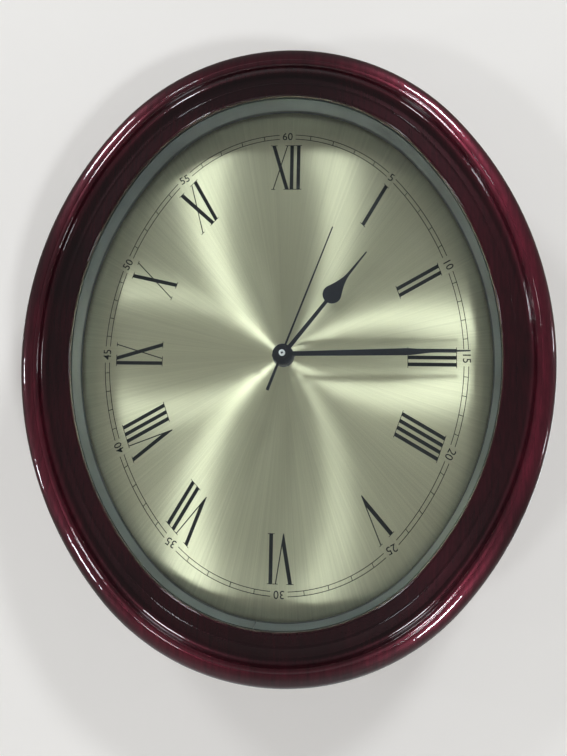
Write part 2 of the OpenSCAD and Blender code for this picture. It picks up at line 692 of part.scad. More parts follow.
module third_wheel() color("#f0efe6") stand_up() at(third_axis) {
    wheel(second_teeth[1], second_m, third_turn, third_z);
    pinion(third_teeth[0], third_m, 0, centre_z - 0.3, centre_z + wheel_t + 0.3);
    rod(third_arbor_r, inner_z + 0.9, centre_z + wheel_t + 1.1);
    rod(pivot_r, inner_z + 0.1, centre_z + wheel_t + 1.2 + pivot_l);
}

module centre_wheel() color("#e4c26a") stand_up() difference() {
    wheel(third_teeth[1], third_m, centre_turn, centre_z);
    rod(minute_tube_r + run_gap, centre_z - 1, centre_z + wheel_t + 1);
}

// Bowed washer that presses the centre wheel on the cannon pinion's shoulder
module clutch_spring() color("gainsboro") stand_up() rotate_extrude()
    polygon([[minute_tube_r + press_gap, centre_z - 0.5], [3.2, centre_z - 0.25], [3.2, centre_z - 0.05],
        [minute_tube_r + press_gap, centre_z - 0.3]]);

module cannon_pinion() color("#e4c26a") stand_up() difference() {
    union() {
        rod(minute_tube_r, plate_z + 0.05, dial_z + minute_up + hand_t + rivet_t + 0.3);
        rod(2.5, centre_z + wheel_t + 0.05, motion_z - 0.3);
        pinion(cannon_teeth[0], cannon_m, 0, motion_z - 0.4, motion_z + wheel_t + 0.2);
    }
    rod(arbor_r + run_gap, plate_z - 1, dial_z + band_h);
}

module minute_wheel() color("#f0efe6") stand_up() at(minute_axis) difference() {
    union() {
        wheel(cannon_teeth[1], cannon_m, minute_turn, motion_z);
        pinion(minute_teeth[0], minute_m, 0, motion_z + wheel_t - eps, hour_z + wheel_t + 0.2);
    }
    rod(arbor_r + run_gap, motion_z - 1, front_z);
}

module hour_wheel() color("#e4c26a") stand_up() difference() {
    union() {
        wheel(minute_teeth[1], minute_m, hour_turn, hour_z);
        rod(hour_tube_r, motion_z + wheel_t + 0.4, dial_z + hour_up + hand_t + rivet_t + 0.3);
    }
    rod(minute_tube_r + run_gap, motion_z, dial_z + minute_up);
}

// Knob at the back, whose pinion sets the minute wheel
knob_z = move_back - 0.2 - knob_t;
grip_n = 36;
module setting_knob() color("#2a2a2c") stand_up() at(setting_axis) {
    difference() {
        rod(knob_r, knob_z, knob_z + knob_t);
        for (i = [0:grip_n - 1]) rotate([0, 0, i * 360 / grip_n]) translate([knob_r + 0.15, 0, 0])
            rod(0.4, knob_z - 1, knob_z + knob_t + 1);
        block(-knob_r * 0.6, knob_r * 0.6, -0.5, 0.5, knob_z - 1, knob_z + 0.5);
    }
    rod(setting_r, knob_z + knob_t - eps, motion_z - 0.2);
    pinion(cannon_teeth[0], cannon_m, setting_turn, motion_z - 0.3, motion_z + wheel_t + 0.3);
    rod(setting_pivot_r, motion_z, motion_z + wheel_t + 0.9 + pivot_l);
}

// Turns a hand, drawn towards twelve, clockwise to its place
module hand_at(angle, z) translate([0, 0, z]) rotate([0, 0, -angle]) children();
stem_w = 1.7;
neck_w = 1.3;
tip_w = 0.6;
pear_y = 0.585 * hour_l;
neck_y = 0.79 * hour_l;

// Side of the pear, falling from its circle to the neck in a hollow curve
pear_r = pear_w / 2;
pear_steps = 8;
pear_from = pear_y + 0.5 * pear_r;
function pear_half(t) = neck_w / 2 + (0.866 * pear_r - neck_w / 2) * pow(1 - t, 1.7);
pear_side = [for (i = [0:pear_steps]) let (t = i / pear_steps) [pear_half(t), pear_from + (neck_y - pear_from) * t]];
module mirrored(side) polygon(concat(side, [for (i = [len(side) - 1:-1:0]) [-side[i][0], side[i][1]]]));
module hour_hand() color("#141416") stand_up() hand_at(hour_at, dial_z + hour_up) linear_extrude(hand_t) difference() {
    union() {
        circle(disc_r);
        translate([0, pear_y]) circle(pear_r);
        mirrored([[stem_w / 2 + 0.2, 0], [stem_w / 2, pear_y]]);
        mirrored(concat(pear_side, [[tip_w / 2, hour_l]]));
    }
    circle(hour_neck_r);
}

module collet(flange_r, neck_r, bore_r, z) stand_up() difference() {
    union() {
        rod(flange_r, z - collet_t, z);
        rod(neck_r, z - eps, z + hand_t + rivet_t);
    }
    rod(bore_r + press_gap, z - 2, z + 2);
}
module hour_collet() color("#b8923f") collet(hour_collet_r, hour_neck_r - press_gap, hour_tube_r, dial_z + hour_up);

// Long leaf that widens to two thirds of its length and ends in a needle
leaf_y = 0.66 * minute_l;
needle_y = 0.81 * minute_l;
leaf_steps = 6;
leaf_side = [for (i = [0:leaf_steps]) let (t = i / leaf_steps)
    [neck_w / 2 + (minute_w - neck_w) / 2 * (1 + cos(180 * t)) / 2, leaf_y + (needle_y - leaf_y) * t]];
module minute_hand() color("#141416") stand_up() hand_at(minute_at, dial_z + minute_up) linear_extrude(hand_t)
    difference() {
        union() {
            circle(disc_r);
            mirrored(concat([[stem_w / 2 + 0.2, 0]], leaf_side, [[tip_w / 2, minute_l]]));
        }
        circle(minute_neck_r);
    }
module minute_collet() color("#b8923f") collet(minute_collet_r, minute_neck_r - press_gap, minute_tube_r, dial_z + minute_up);

module second_hand() color("#141416") stand_up() hand_at(second_at, dial_z + second_up) linear_extrude(second_hand_t)
    difference() {
        union() {
            circle(second_disc_r);
            mirrored([[0.75, -tail_l], [0.5, 0], [tip_w / 2, second_l]]);
        }
        circle(second_tube_r);
    }
module second_tube() color("#c8c8c8") stand_up()
    tube(second_tube_r - press_gap, arbor_r + press_gap, dial_z + second_up - second_tube_down, dial_z + second_up + second_tube_up);

frame();
glass();
spacer_band();
dial();
backing_board();
retaining_clips();
clip_screws();
hanger_plate();
hanger_screws();
movement_case();
movement_cover();
rubber_washer();
threaded_bushing();
nut_washer();
fixing_nut();
train_plate();
stator();
coil_core();
coil_bobbin();
coil_winding();
circuit_board();
ic_chip();
quartz_crystal();
battery();
positive_contact();
negative_contact();
rotor_magnet();
rotor_pinion();
intermediate_wheel();
second_wheel();
second_arbor();
third_wheel();
centre_wheel();
clutch_spring();
cannon_pinion();
minute_wheel();
hour_wheel();
setting_knob();
hour_hand();
hour_collet();
minute_hand();
minute_collet();
second_hand();
second_tube();
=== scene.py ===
import json
import math

import bpy
from mathutils import Matrix, Vector


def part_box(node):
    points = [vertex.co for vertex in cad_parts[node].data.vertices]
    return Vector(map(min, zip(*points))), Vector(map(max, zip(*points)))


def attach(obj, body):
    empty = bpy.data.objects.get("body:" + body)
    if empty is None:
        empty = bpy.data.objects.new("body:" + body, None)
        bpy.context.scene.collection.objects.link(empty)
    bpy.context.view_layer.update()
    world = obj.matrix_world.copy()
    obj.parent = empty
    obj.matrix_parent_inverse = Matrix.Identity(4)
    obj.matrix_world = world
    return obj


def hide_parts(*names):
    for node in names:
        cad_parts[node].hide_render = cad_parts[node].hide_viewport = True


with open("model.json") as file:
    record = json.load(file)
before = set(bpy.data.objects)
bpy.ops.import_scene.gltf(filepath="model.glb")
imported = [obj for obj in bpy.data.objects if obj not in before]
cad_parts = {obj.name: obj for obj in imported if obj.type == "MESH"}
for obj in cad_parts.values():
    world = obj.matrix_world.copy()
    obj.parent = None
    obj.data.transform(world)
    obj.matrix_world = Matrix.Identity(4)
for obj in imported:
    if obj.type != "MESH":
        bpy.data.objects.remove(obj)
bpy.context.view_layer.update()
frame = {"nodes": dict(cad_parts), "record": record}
mm = 0.001
slack = {"turn": 1e-9, "turnOfVertex": 1e-6, "merge": 1e-7}  # in comparisons, and the reach of a merge


# Camera, where the photograph was taken: close, a little low and to the right
camera = {
    "place": (0.0192, -0.3087, -0.0414),
    "turns": (("Z", 1.09), ("Y", 3.69), ("X", 6.18)),  # degrees, after it was pointed square at the wall
    "lens": 27.92,
    "sensor": 36,
    "nearest": 0.01,
}


def addCamera():
    data = bpy.data.cameras.new("camera")
    data.lens = camera["lens"]
    data.sensor_width = camera["sensor"]
    data.clip_start = camera["nearest"]
    eye = bpy.data.objects.new("camera", data)
    bpy.context.scene.collection.objects.link(eye)
    turned = Matrix.Rotation(math.radians(90), 4, "X")
    for axis, degrees in camera["turns"]:
        turned = turned @ Matrix.Rotation(math.radians(degrees), 4, axis)
    eye.matrix_world = Matrix.Translation(camera["place"]) @ turned
    bpy.context.scene.camera = eye


addCamera()
print("camera is set")


# The oval: two end arcs and two side arcs that meet without a corner
oval = {"flatness": 0.8}
frameLow, frameHigh = (Vector(corner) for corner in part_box("frame"))
halfWidth = frameHigh.x
halfHeight = frameHigh.z
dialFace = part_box("dial")[0][1]
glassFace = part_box("glass")[0][1]
spread = halfHeight - halfWidth
sideCentre = spread * (1 + oval["flatness"])
endCentre = spread * (1 + 0.5 / oval["flatness"])
joinTurn = math.atan2(endCentre, sideCentre)
quarter = math.pi / 2
arcs = [  # middle of the arc, half its sweep, its centre and its radius
    (0, joinTurn, Vector((-sideCentre, 0, 0)), halfWidth + sideCentre),
    (quarter, quarter - joinTurn, Vector((0, 0, endCentre)), halfHeight - endCentre),
    (2 * quarter, joinTurn, Vector((sideCentre, 0, 0)), halfWidth + sideCentre),
    (3 * quarter, quarter - joinTurn, Vector((0, 0, -endCentre)), halfHeight - endCentre),
    (4 * quarter, joinTurn, Vector((-sideCentre, 0, 0)), halfWidth + sideCentre),
]


# Centre, radius and remaining sweep of the arc at a normal's turn, counterclockwise from the right
def arcAt(normal):
    turn = normal % (4 * quarter)
    for middle, reach, centre, radius in arcs:
        if turn < middle + reach - slack["turn"]:
            return centre, radius, middle + reach - turn


def ovalPoint(normal, inset, y):
    centre, radius = arcAt(normal)[:2]
    out = radius - inset
    return Vector((centre.x + out * math.cos(normal), y, centre.z + out * math.sin(normal)))


# Distance and normal at which a ray from the middle, clockwise from twelve, meets the oval at this inset
def rayToOval(ray, inset):
    way = Vector((math.sin(ray), 0, math.cos(ray)))
    for middle, reach, centre, radius in arcs:
        along = way.dot(centre)
        length = along + math.sqrt(along * along - centre.length_squared + (radius - inset) ** 2)
        spoke = way * length - centre
        normal = math.atan2(spoke.z, spoke.x) % (4 * quarter)
        if abs(normal - middle) <= reach + slack["turn"]:
            return length, normal


# Modelling, as by hand
def deselectAll():
    if bpy.context.mode != "OBJECT":
        bpy.ops.object.mode_set(mode="OBJECT")
    bpy.ops.object.select_all(action="DESELECT")


def startPiece(name):
    deselectAll()
    bpy.ops.mesh.primitive_plane_add(size=mm, location=(0, 0, 0))
    piece = bpy.context.active_object
    piece.name = name
    piece.data.name = name
    bpy.ops.object.mode_set(mode="EDIT")
    return piece


# A chain of vertices, extruded one from the other
def drawChain(name, points, closed=False):
    piece = startPiece(name)
    bpy.ops.mesh.merge(type="CENTER")
    bpy.ops.transform.translate(value=points[0])
    for start, end in zip(points, points[1:]):
        bpy.ops.mesh.extrude_vertices_move(TRANSFORM_OT_translate={"value": Vector(end) - Vector(start)})
    if closed:
        bpy.ops.mesh.select_all(action="SELECT")
        bpy.ops.mesh.edge_face_add()
    return piece


# A flat shape seen from the front, as thick as it is told, with its front at y
def drawSheet(name, outline, y, thickness):
    piece = drawChain(name, [Vector((x, y + thickness, z)) for x, z in outline], closed=True)
    bpy.ops.mesh.extrude_region_move(TRANSFORM_OT_translate={"value": (0, -thickness, 0)})
    closeSkin()
    return piece


def closeSkin():
    bpy.ops.mesh.select_all(action="SELECT")
    bpy.ops.mesh.remove_doubles(threshold=slack["merge"])
    bpy.ops.mesh.normals_make_consistent(inside=False)
    bpy.ops.object.mode_set(mode="OBJECT")


def spinAbout(centre, turn, steps):
    bpy.ops.mesh.spin(steps=max(1, steps), angle=turn, center=centre, axis=(0, 1, 0))


# Carries what is selected round the outline, from one normal's turn to another
def spinRound(start, end, stepTurn):
    turn = start
    while turn < end - slack["turn"]:
        centre, radius, rest = arcAt(turn)
        sweep = min(rest, end - turn)
        spinAbout(centre, sweep, round(sweep / stepTurn))
        turn += sweep


def applyModifier(piece, kind, **settings):
    modifier = piece.modifiers.new(kind.lower(), kind)
    for setting, value in settings.items():
        setattr(modifier, setting, value)
    bpy.context.view_layer.objects.active = piece
    bpy.ops.object.modifier_apply(modifier=modifier.name)


def cutAway(piece, cutter):
    deselectAll()
    applyModifier(piece, "BOOLEAN", operation="DIFFERENCE", object=cutter, solver="EXACT")
    bpy.data.objects.remove(cutter)


def smoothByAngle(piece, degrees):
    deselectAll()
    piece.select_set(True)
    bpy.context.view_layer.objects.active = piece
    bpy.ops.object.shade_smooth_by_angle(angle=math.radians(degrees))


def joinPieces(name, pieces):
    deselectAll()
    for piece in pieces:
        piece.select_set(True)
    bpy.context.view_layer.objects.active = pieces[0]
    bpy.ops.object.join()
    pieces[0].name = name
    pieces[0].data.name = name
    return pieces[0]


# A copy with its own mesh, whose place is in that mesh
def copyTo(piece, place):
    twin = piece.copy()
    twin.data = piece.data.copy()
    bpy.context.scene.collection.objects.link(twin)
    twin.data.transform(place)
    return twin


def applyPlace(piece):
    deselectAll()
    piece.select_set(True)
    bpy.context.view_layer.objects.active = piece
    bpy.ops.object.transform_apply(location=True, rotation=True, scale=True)


# Turns a shape drawn upright at the middle, with up as outwards, to its ray
def rayPlace(ray, distance):
    return Matrix.Rotation(ray, 4, "Y") @ Matrix.Translation((0, 0, distance))


def onBody(piece, body, material, slot, *nodes):
    piece.data.materials.clear()
    piece.data.materials.append(material)
    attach(piece, body)
    if nodes:
        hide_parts(*nodes)


# Material nodes
class Recipe:
    def __init__(self, name, **sockets):
        self.material = bpy.data.materials.new(name)
        self.material.use_nodes = True
        self.nodes = self.material.node_tree.nodes
        self.links = self.material.node_tree.links
        self.shader = self.nodes["Principled BSDF"]
        self.output = self.nodes["Material Output"]
        for socket, value in sockets.items():
            self.shader.inputs[socket.replace("_", " ")].default_value = value

    def add(self, kind, inputs=None, **settings):
        node = self.nodes.new("ShaderNode" + kind)
        for setting, value in settings.items():
            setattr(node, setting, value)
        for socket, value in (inputs or {}).items():
            if isinstance(value, bpy.types.NodeSocket):
                self.links.new(value, node.inputs[socket])
            else:
                node.inputs[socket].default_value = value
        return node

    def place(self, scale=(1, 1, 1)):
        spot = self.add("TexCoord").outputs["Object"]
        return self.add("Mapping", {"Vector": spot, "Scale": scale}).outputs["Vector"]

    def noise(self, scale, detail=3, where=None, rough=0.5):
        vector = where or self.place()
        values = {"Vector": vector, "Scale": scale, "Detail": detail, "Roughness": rough}
        return self.add("TexNoise", values).outputs["Fac"]

    def between(self, factor, low, high):
        return self.add("MapRange", {"Value": factor, "To Min": low, "To Max": high}).outputs["Result"]

    def blend(self, factor, first, second):
        ramp = self.add("ValToRGB", {"Fac": factor})
        ramp.color_ramp.elements[0].color = (*first, 1)
        ramp.color_ramp.elements[1].color = (*second, 1)
        return ramp.outputs["Color"]

    def squeeze(self, ramp, low, high):
        ramp.node.color_ramp.elements[0].position = low
        ramp.node.color_ramp.elements[1].position = high
        return ramp

    def bump(self, height, depth, below=None):
        node = self.add("Bump", {"Height": height, "Distance": depth, "Strength": 1.0})
        if below:
            self.links.new(below, node.inputs["Normal"])
        return node.outputs["Normal"]

    def feed(self, **sockets):
        for socket, source in sockets.items():
            self.links.new(source, self.shader.inputs[socket.replace("_", " ")])
        return self.material


def tinted(colour, factor):
    return tuple(min(1, part * factor) for part in colour)


# Frame: cherry wood under a thick gloss lacquer
moulding = {
    "sideRadius": 5.4 * mm,  # of the shoulder, up to where its slope is the side turn
    "crownRadius": 10 * mm,
    "sideTurn": 62,
    "quirk": (0.5 * mm, 0.15 * mm),  # width and depth of the groove between the crown and the ridge
    "ridgeRadius": 3 * mm,
    "ridgeTurns": (112, 76),  # where the ridge's curve starts and ends
    "step": (0.45 * mm, 1 * mm),  # run and drop
    "hollowFloor": 1.3 * mm,  # over the glass
    "hollowEnd": 13.4 * mm,
    "beadCrest": (17.2 * mm, 0.5 * mm),  # offset, and height over the hollow's floor
    "beadRadius": 0.4 * mm,
    "beadTurns": (97, 32),
    "beadFoot": (0.9 * mm, 0.02 * mm),  # run and drop
    "lipHeight": 2.2 * mm,
    "lipRadius": 1 * mm,
    "lipStart": 92,
    "width": 24 * mm,
    "rabbet": 21.5 * mm,
    "rearEdge": 1 * mm,
    "softCorner": 0.2 * mm,
    "softTurn": 45,  # a corner that turns by more than this is rounded
    "smoothTurn": 30,  # faces that meet at less than this are shaded as one
    "arcSteps": {"side": 18, "crown": 14, "quirk": 8, "ridge": 12, "hollow": 14, "bead": 12, "lip": 14},
    "stepTurn": math.radians(1.5),
}


def arcPoints(middle, radius, start, end, steps):
    turns = [math.radians(start + (end - start) * step / steps) for step in range(steps + 1)]
    return [(middle[0] + radius * math.cos(turn), middle[1] + radius * math.sin(turn)) for turn in turns]


# Across a shallow groove to a point, as a chain
def dipPoints(start, end, depth, steps):
    points = []
    for step in range(1, steps):
        share = step / steps
        offset, height = (low + (high - low) * share for low, high in zip(start, end))
        points.append((offset, height - depth * math.sin(math.pi * share) ** 2))
    return points


# Offset from the outer outline, and height from the wall
def mouldingOutline():
    shape = moulding
    steps = shape["arcSteps"]
    crown = -frameLow.y
    lip = -glassFace
    floor = lip + shape["hollowFloor"]
    sideRadius, crownRadius, ridge = shape["sideRadius"], shape["crownRadius"], shape["ridgeRadius"]
    sideTurn = math.radians(shape["sideTurn"])
    sideEnd = 180 - shape["sideTurn"]
    sideMiddle = (sideRadius, crown - crownRadius + (crownRadius - sideRadius) * math.sin(sideTurn))
    crownTop = sideRadius + (crownRadius - sideRadius) * math.cos(sideTurn)
    width, depth = shape["quirk"]
    ridgeStart, ridgeEnd = shape["ridgeTurns"]
    ridgeMiddle = (crownTop + width - ridge * math.cos(math.radians(ridgeStart)), crown - ridge)
    ridgeArc = arcPoints(ridgeMiddle, ridge, ridgeStart, ridgeEnd, steps["ridge"])
    stepFoot = ridgeArc[-1][0] + shape["step"][0]
    hollowEnd = shape["hollowEnd"]
    run = hollowEnd - stepFoot
    drop = crown - shape["step"][1] - floor
    hollow = (run * run + drop * drop) / (2 * drop)
    hollowStart = 180 + math.degrees(math.atan2(hollow - drop, run))
    crest, height = shape["beadCrest"]
    bead = shape["beadRadius"]
    beadArc = arcPoints((crest, floor + height - bead), bead, *shape["beadTurns"], steps["bead"])
    footRun, footDrop = shape["beadFoot"]
    nose = (shape["width"] - shape["lipRadius"], lip + shape["lipHeight"] - shape["lipRadius"])
    foot = (beadArc[-1][0] + footRun, beadArc[-1][1] - footDrop)
    corners = [
        [(shape["rabbet"], 0), (shape["rearEdge"], 0), (0, shape["rearEdge"])],
        arcPoints(sideMiddle, sideRadius, 180, sideEnd, steps["side"]),
        arcPoints((crownTop, crown - crownRadius), crownRadius, sideEnd, 90, steps["crown"])[1:],
        dipPoints((crownTop, crown), ridgeArc[0], depth, steps["quirk"]),
        ridgeArc,
        arcPoints((hollowEnd, floor + hollow), hollow, hollowStart, 270, steps["hollow"]),
        beadArc,
        [foot],
        arcPoints(nose, shape["lipRadius"], shape["lipStart"], 0, steps["lip"]),
        [(shape["width"], lip), (shape["rabbet"], lip), (shape["rabbet"], 0)],
    ]
    return [point for part in corners for point in part]


# Rounds the corners of the chain that turn by more than a curve's own steps
def softenCorners(piece, radius, least):
    bpy.ops.mesh.select_all(action="DESELECT")
    bpy.ops.object.mode_set(mode="OBJECT")
    vertices = piece.data.vertices
    for before, here, after in zip(vertices, vertices[1:], vertices[2:]):
        bend = (here.co - before.co).angle(after.co - here.co)
        here.select = bend > math.radians(least)
    bpy.ops.object.mode_set(mode="EDIT")
    bpy.ops.mesh.bevel(offset=radius, segments=3, affect="VERTICES", clamp_overlap=True)
    bpy.ops.mesh.select_all(action="SELECT")


def buildFrame():
    points = [Vector((halfWidth - offset, -height, 0)) for offset, height in mouldingOutline()]
    piece = drawChain("frameMoulding", points)
    softenCorners(piece, moulding["softCorner"], moulding["softTurn"])
    spinRound(0, 4 * quarter, moulding["stepTurn"])
    closeSkin()
    return piece


# Seat of the hanger plate in the wood, and the pocket for the screw's head behind it
hangerSeat = {
    "room": 0.4 * mm,  # over the plate's width and height
    "pocketMiddle": -3.1 * mm,
    "pocketSides": 64,
    # rise over the keyhole, radius and depth of each hole; their floors differ, so that they cut cleanly
    "pocket": ((0, 5.5 * mm, 8.2 * mm), (5 * mm, 3.5 * mm, 8.1 * mm)),
}


def cutHangerSeat(piece):
    low, high = (Vector(corner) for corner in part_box("hanger_plate"))
    middle = (low + high) / 2
    seat = high - low + Vector((1, 0, 1)) * hangerSeat["room"]
    deselectAll()
    bpy.ops.mesh.primitive_cube_add(size=1, location=(0, (low.y + mm) / 2, middle.z))
    cutter = bpy.context.active_object
    cutter.scale = (seat.x, mm - low.y, seat.z)
    applyPlace(cutter)
    cutAway(piece, cutter)
    keyhole = next(mount for mount in frame["record"]["mounts"] if mount["name"] == "hanger_keyhole")
    for rise, radius, depth in hangerSeat["pocket"]:
        deselectAll()
        bpy.ops.mesh.primitive_cylinder_add(vertices=hangerSeat["pocketSides"], radius=radius, depth=depth,
            location=(0, hangerSeat["pocketMiddle"], keyhole["pos_m"][2] + rise), rotation=(quarter, 0, 0))
        cutter = bpy.context.active_object
        applyPlace(cutter)
        cutAway(piece, cutter)


# Painted light and shade in the wood's colour, as strengths across the moulding: bright on the crown, dark in
# the hollow
paintedShading = {
    "name": "paintedShading",
    "offsets": (0, 1.5, 5.5, 7.5, 9, 10.5, 12.5, 15, 18, 24),  # from the outer outline, in mm
    "strength": (0.4, 0.65, 0.9, 1.2, 1.1, 0.7, 0.35, 0.25, 0.3, 0.4),
}


# How far inside the outline a point lies
def insetOf(point):
    for middle, reach, centre, radius in arcs:
        spoke = Vector((point.x - centre.x, 0, point.z - centre.z))
        normal = math.atan2(spoke.z, spoke.x) % (4 * quarter)
        if abs(normal - middle) <= reach + slack["turnOfVertex"]:
            return radius - spoke.length


# Painted light and shade: the red is brighter on the crown and darker in the hollow, so each vertex holds its
# strength
def stainVertices(piece):
    strength = piece.data.attributes.new(paintedShading["name"], "FLOAT", "POINT")
    offsets, values = paintedShading["offsets"], paintedShading["strength"]
    for vertex in piece.data.vertices:
        inset = max(0, min(offsets[-1] - 0.01, insetOf(vertex.co) / mm))
        upper = next(index for index, offset in enumerate(offsets) if offset > inset)
        share = (inset - offsets[upper - 1]) / (offsets[upper] - offsets[upper - 1])
        strength.data[vertex.index].value = values[upper - 1] + (values[upper] - values[upper - 1]) * share


lacquer = {
    "colours": ((0.056, 0.0045, 0.0110), (0.150, 0.0110, 0.0260)),  # of the grain
    "patches": (9, 0.45, 1.22),  # scale, and how dark and how bright they are
    "ripple": (260, 0.075 * mm),  # scale and depth
    "peel": (900, 0.013 * mm),
}


def lacqueredWood():
    wood = Recipe("lacqueredCherry", Metallic=0.6, Roughness=0.38, Specular_IOR_Level=0.15, Coat_Weight=1.0,
        Coat_Roughness=0.03, Coat_IOR=1.5)
    grain = wood.noise(1, 6, wood.place((700, 200, 90)), 0.6)
    colour = wood.blend(grain, *lacquer["colours"])
    wood.squeeze(colour, 0.25, 0.8)
    size, darkest, brightest = lacquer["patches"]
    patches = wood.noise(size, 3)
    limits = {"From Min": 0.38, "From Max": 0.62, "To Min": darkest, "To Max": brightest}
    cloud = wood.add("MapRange", {"Value": patches, **limits}).outputs["Result"]
    # painted light on the crown and painted shade in the hollow, from each vertex's strength
    strength = wood.add("Attribute", attribute_name=paintedShading["name"]).outputs["Fac"]
    deep = wood.add("Math", {0: cloud, 1: strength}, operation="MULTIPLY").outputs[0]
    shade = wood.add("VectorMath", {0: colour, 1: deep}, operation="MULTIPLY").outputs["Vector"]
    ripple = wood.bump(wood.noise(lacquer["ripple"][0], 2), lacquer["ripple"][1])
    peel = wood.bump(wood.noise(lacquer["peel"][0], 2), lacquer["peel"][1], ripple)
    return wood.feed(Base_Color=shade, Normal=peel, Coat_Normal=peel)


frameMoulding = buildFrame()
cutHangerSeat(frameMoulding)
stainVertices(frameMoulding)
smoothByAngle(frameMoulding, moulding["smoothTurn"])
onBody(frameMoulding, "case_body", lacqueredWood(), "frame_wood", "frame")
print("frame is turned and lacquered")


# Print on the dial: numerals, minute track and its numbers
numerals = {
    "outer": 41.0 * mm,  # inset of the numerals' tops
    "height": 23.6 * mm,
    "thick": 1.8 * mm,
    "thin": 0.5 * mm,
    "slantShare": 1.04,  # width of a slanting stroke, measured level, against an upright one
    "spreadOfFeet": 6.9 * mm,  # between the strokes of V and X at their ends
    "pointOfV": (-0.2 * mm, 0.25 * mm),
    "serif": (0.75 * mm, 0.32 * mm),  # reach and thickness
    "widths": {"I": 3.4 * mm, "V": 8.4 * mm, "X": 8.2 * mm},
    "words": ["XII", "I", "II", "III", "IIII", "V", "VI", "VII", "VIII", "IX", "X", "XI"],
}
ink = {
    "lift": 0.006 * mm,
    "thickness": 0.03 * mm,
    "colours": ((0.0030, 0.0040, 0.0040), (0.0095, 0.0115, 0.0115)),
}
track = {
    "outer": 35.4 * mm,
    "inner": 37.6 * mm,
    "line": 0.34 * mm,
    "gap": 4.1 * mm,  # half of the gap that a number takes
    "narrowGap": 2.4 * mm,  # the same at the number with one figure
    "numberHeight": 3.9 * mm,
    "numberOut": 0.3 * mm,  # from the middle of the track outwards
    "fontSize": 5.5 * mm,
    "fontWeight": 0.02 * mm,  # added all round
    "stepTurn": math.radians(2),
}


# Foot of a stroke between left and right, walked from left to right, or its head from right to left
def serifPoints(left, right, y, upwards):
    reach, thin = numerals["serif"]
    inner = y + thin * upwards
    out = reach * (1 if left < right else -1)
    return [(left, inner), (left - out, inner), (left - out, y),
        (right + out, y), (right + out, inner), (right, inner)]


def letterI():
    half = numerals["thick"] / 2
    height = numerals["height"]
    return serifPoints(-half, half, 0, 1) + serifPoints(half, -half, height, -1)


def letterV():
    height = numerals["height"]
    half = numerals["spreadOfFeet"] / 2
    thick = numerals["thick"] * numerals["slantShare"]
    thin = numerals["thin"] * numerals["slantShare"]
    leftTop = -half - thick / 2
    rightTop = half + thin / 2
    footLeft, footRight = numerals["pointOfV"]
    fallThick = footLeft - leftTop
    fallThin = rightTop - footRight
    down = (rightTop - leftTop - thick - thin) / (fallThick + fallThin)
    notch = (leftTop + thick + fallThick * down, height * (1 - down))
    return [(footLeft, 0), (footRight, 0)] + serifPoints(rightTop, rightTop - thin, height, -1) + [notch] \
        + serifPoints(leftTop + thick, leftTop, height, -1)


def letterX():
    height = numerals["height"]
    spreadOfFeet = numerals["spreadOfFeet"]
    half = spreadOfFeet / 2
    thick = numerals["thick"] / 2 * numerals["slantShare"]
    thin = numerals["thin"] / 2 * numerals["slantShare"]

    def crossing(side, other):  # of the thick stroke's edge and the thin one's
        down = 0.5 + (other - side) / (2 * spreadOfFeet)
        return (-half + side + spreadOfFeet * down, height * (1 - down))

    return serifPoints(-half - thin, -half + thin, 0, 1) + [crossing(-thick, thin)] \
        + serifPoints(half - thick, half + thick, 0, 1) + [crossing(thick, thin)] \
        + serifPoints(half + thin, half - thin, height, -1) + [crossing(thick, -thin)] \
        + serifPoints(-half + thick, -half - thick, height, -1) + [crossing(-thick, -thin)]


def printedInk():
    recipe = Recipe("printedInk", Roughness=0.5, Specular_IOR_Level=0.12)
    speckle = recipe.noise(5200, 2)
    colour = recipe.blend(speckle, *ink["colours"])
    return recipe.feed(Base_Color=colour, Normal=recipe.bump(speckle, 0.002 * mm),
        Roughness=recipe.between(recipe.noise(900), 0.34, 0.5))


inkBlack = printedInk()
inkFace = dialFace - ink["lift"] - ink["thickness"]
letters = {}
for letter, outline in (("I", letterI()), ("V", letterV()), ("X", letterX())):
    letters[letter] = drawSheet("letter" + letter, outline, inkFace, ink["thickness"])


def buildNumeral(hour, word):
    ray = hour * quarter / 3
    top, normal = rayToOval(ray, numerals["outer"])
    lean = Matrix.Identity(4)
    lean[2][0] = math.tan(normal + ray - quarter)  # so that its ends follow the oval
    at = -sum(numerals["widths"][letter] for letter in word) / 2
    parts = []
    for letter in word:
        at += numerals["widths"][letter] / 2
        place = rayPlace(ray, top - numerals["height"]) @ lean @ Matrix.Translation((at, 0, 0))
        parts.append(copyTo(letters[letter], place))
        at += numerals["widths"][letter] / 2
    return joinPieces("numeral" + word, parts)


for hour, word in enumerate(numerals["words"]):
    onBody(buildNumeral(hour, word), "case_body", inkBlack, "hand_black")
for letter in letters.values():
    bpy.data.objects.remove(letter)
print("numerals are printed")


# One line of the track between two numbers
def trackLine(inset, start, end):
    half = track["line"] / 2
    points = [ovalPoint(start, inset + side, inkFace + ink["thickness"]) for side in (half, -half)]
    line = drawChain("trackLine", points)
    bpy.ops.mesh.select_all(action="SELECT")
    spinRound(start, end, track["stepTurn"])
    bpy.ops.mesh.select_all(action="SELECT")
    bpy.ops.mesh.remove_doubles(threshold=slack["merge"])
    bpy.ops.mesh.extrude_region_move(TRANSFORM_OT_translate={"value": (0, -ink["thickness"], 0)})
    closeSkin()
    return line


